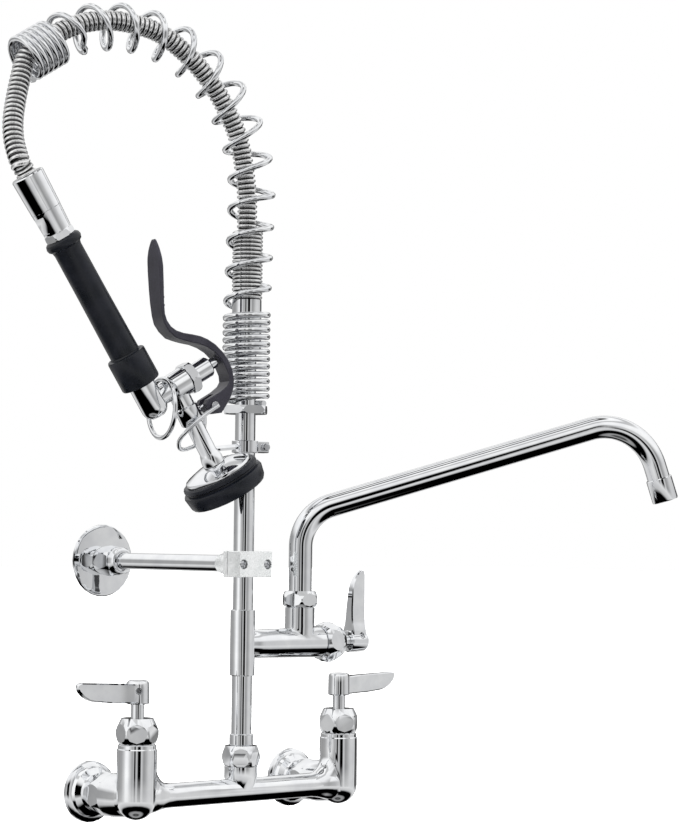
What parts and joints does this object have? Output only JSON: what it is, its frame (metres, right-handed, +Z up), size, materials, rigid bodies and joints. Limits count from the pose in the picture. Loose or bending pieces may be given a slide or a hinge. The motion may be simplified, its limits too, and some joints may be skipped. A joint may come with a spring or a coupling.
{
  "type": "pre-rinse faucet",
  "caption": "Wall-mounted pre-rinse faucet: mixing body with lever valves, riser, swing spout on a side tee, guard spring, hose and a hand spray hung on a hook.",
  "frame": {"origin": "On the wall plane, midway between the hot and the cold inlet and level with both.", "axes": "+Z up, +X from the hot inlet to the cold inlet, +Y into the wall; the faucet stands out toward -Y."},
  "size_m": [0.555, 0.3541, 0.633],
  "materials": {
    "polished_chrome": "bright polished chrome plate",
    "spring_wire": "bright chrome plated wire",
    "hose_armour": "stainless interlocked armour, fine rings",
    "turned_steel": "satin stainless steel",
    "valve_brass": "turned brass",
    "black_rubber": "matt black rubber",
    "black_plastic": "satin black plastic"
  },
  "bodies": {
    "faucet_frame": {"bracket_flange": "polished_chrome", "bracket_nut": "polished_chrome", "bracket_pipe": "polished_chrome", "bracket_ring": "polished_chrome", "clamp_back": "polished_chrome", "clamp_front": "polished_chrome", "clamp_screw_1": "turned_steel", "clamp_screw_2": "turned_steel", "cold_bonnet_nut": "polished_chrome", "cold_cartridge": "valve_brass", "cold_escutcheon": "polished_chrome", "cold_union_nut": "polished_chrome", "cold_wall_shank": "polished_chrome", "face_screw": "turned_steel", "grip": "black_rubber", "guard_spring": "spring_wire", "hook_band": "polished_chrome", "hook_screw": "turned_steel", "hose": "hose_armour", "hose_ferrule": "polished_chrome", "hose_sleeve": "hose_armour", "hot_bonnet_nut": "polished_chrome", "hot_cartridge": "valve_brass", "hot_escutcheon": "polished_chrome", "hot_union_nut": "polished_chrome", "hot_wall_shank": "polished_chrome", "lever_pin": "turned_steel", "lower_riser": "polished_chrome", "mixing_body": "polished_chrome", "packing_nut": "polished_chrome", "riser_nut": "polished_chrome", "side_bonnet_nut": "polished_chrome", "side_cartridge": "valve_brass", "spout_nut": "polished_chrome", "spray_body": "polished_chrome", "spray_bumper": "black_rubber", "spray_dome": "polished_chrome", "spray_face": "turned_steel", "spray_shank": "polished_chrome", "spring_nut": "polished_chrome", "swivel_ferrule": "polished_chrome", "swivel_nut": "polished_chrome", "tee_body": "polished_chrome", "upper_riser": "polished_chrome"},
    "hot_valve_handle": {"hot_handle": "polished_chrome", "hot_handle_screw": "turned_steel", "hot_stem": "polished_chrome"},
    "cold_valve_handle": {"cold_handle": "polished_chrome", "cold_handle_screw": "turned_steel", "cold_stem": "polished_chrome"},
    "side_valve_handle": {"side_handle": "polished_chrome", "side_handle_screw": "turned_steel", "side_stem": "polished_chrome"},
    "swing_spout": {"spout_tube": "polished_chrome", "spout_tip": "polished_chrome"},
    "spray_trigger": {"spray_lever": "black_plastic"},
    "spray_plunger": {"plunger": "polished_chrome"},
    "lever_hold_ring": {"hold_ring": "spring_wire"},
    "hanging_bail": {"hang_bail": "spring_wire"}
  },
  "joints": [
    {"name": "hot_valve_turn", "type": "hinge", "parent": "faucet_frame", "child": "hot_valve_handle", "pos_m": [-0.1016, -0.0615, 0.08], "axis": [0, 0, 1], "range_deg": [0, 90]},
    {"name": "cold_valve_turn", "type": "hinge", "parent": "faucet_frame", "child": "cold_valve_handle", "pos_m": [0.1016, -0.0615, 0.08], "axis": [0, 0, 1], "range_deg": [-90, 0]},
    {"name": "side_valve_turn", "type": "hinge", "parent": "faucet_frame", "child": "side_valve_handle", "pos_m": [0.1188, -0.0615, 0.1142], "axis": [1, 0, 0], "range_deg": [0, 90]},
    {"name": "spout_swing", "type": "hinge", "parent": "faucet_frame", "child": "swing_spout", "pos_m": [0.0589, -0.0615, 0.15], "axis": [0, 0, 1], "range_deg": [-90, 38]},
    {"name": "lever_squeeze", "type": "hinge", "parent": "faucet_frame", "child": "spray_trigger", "pos_m": [-0.05282, -0.08265, 0.29882], "axis": [-0.1736, -0.9848, 0], "range_deg": [0, 12], "stiffness_Nm_per_rad": 0.8, "springref_deg": -8.59},
    {"name": "plunger_press", "type": "slide", "parent": "faucet_frame", "child": "spray_plunger", "axis": [-0.8441, 0.1488, -0.515], "range_m": [0, 0.0055]},
    {"name": "ring_turn", "type": "hinge", "parent": "faucet_frame", "child": "lever_hold_ring", "pos_m": [-0.09349, -0.07548, 0.31764], "axis": [0.1736, 0.9848, 0], "range_deg": [-4, 95]},
    {"name": "bail_turn", "type": "hinge", "parent": "faucet_frame", "child": "hanging_bail", "pos_m": [-0.05282, -0.08265, 0.29882], "axis": [-0.1736, -0.9848, 0], "range_deg": [-12, 12]}
  ],
  "couplings": [
    {"joint": "plunger_press", "follows": "lever_squeeze", "m_per_rad": 0.024}
  ]
}
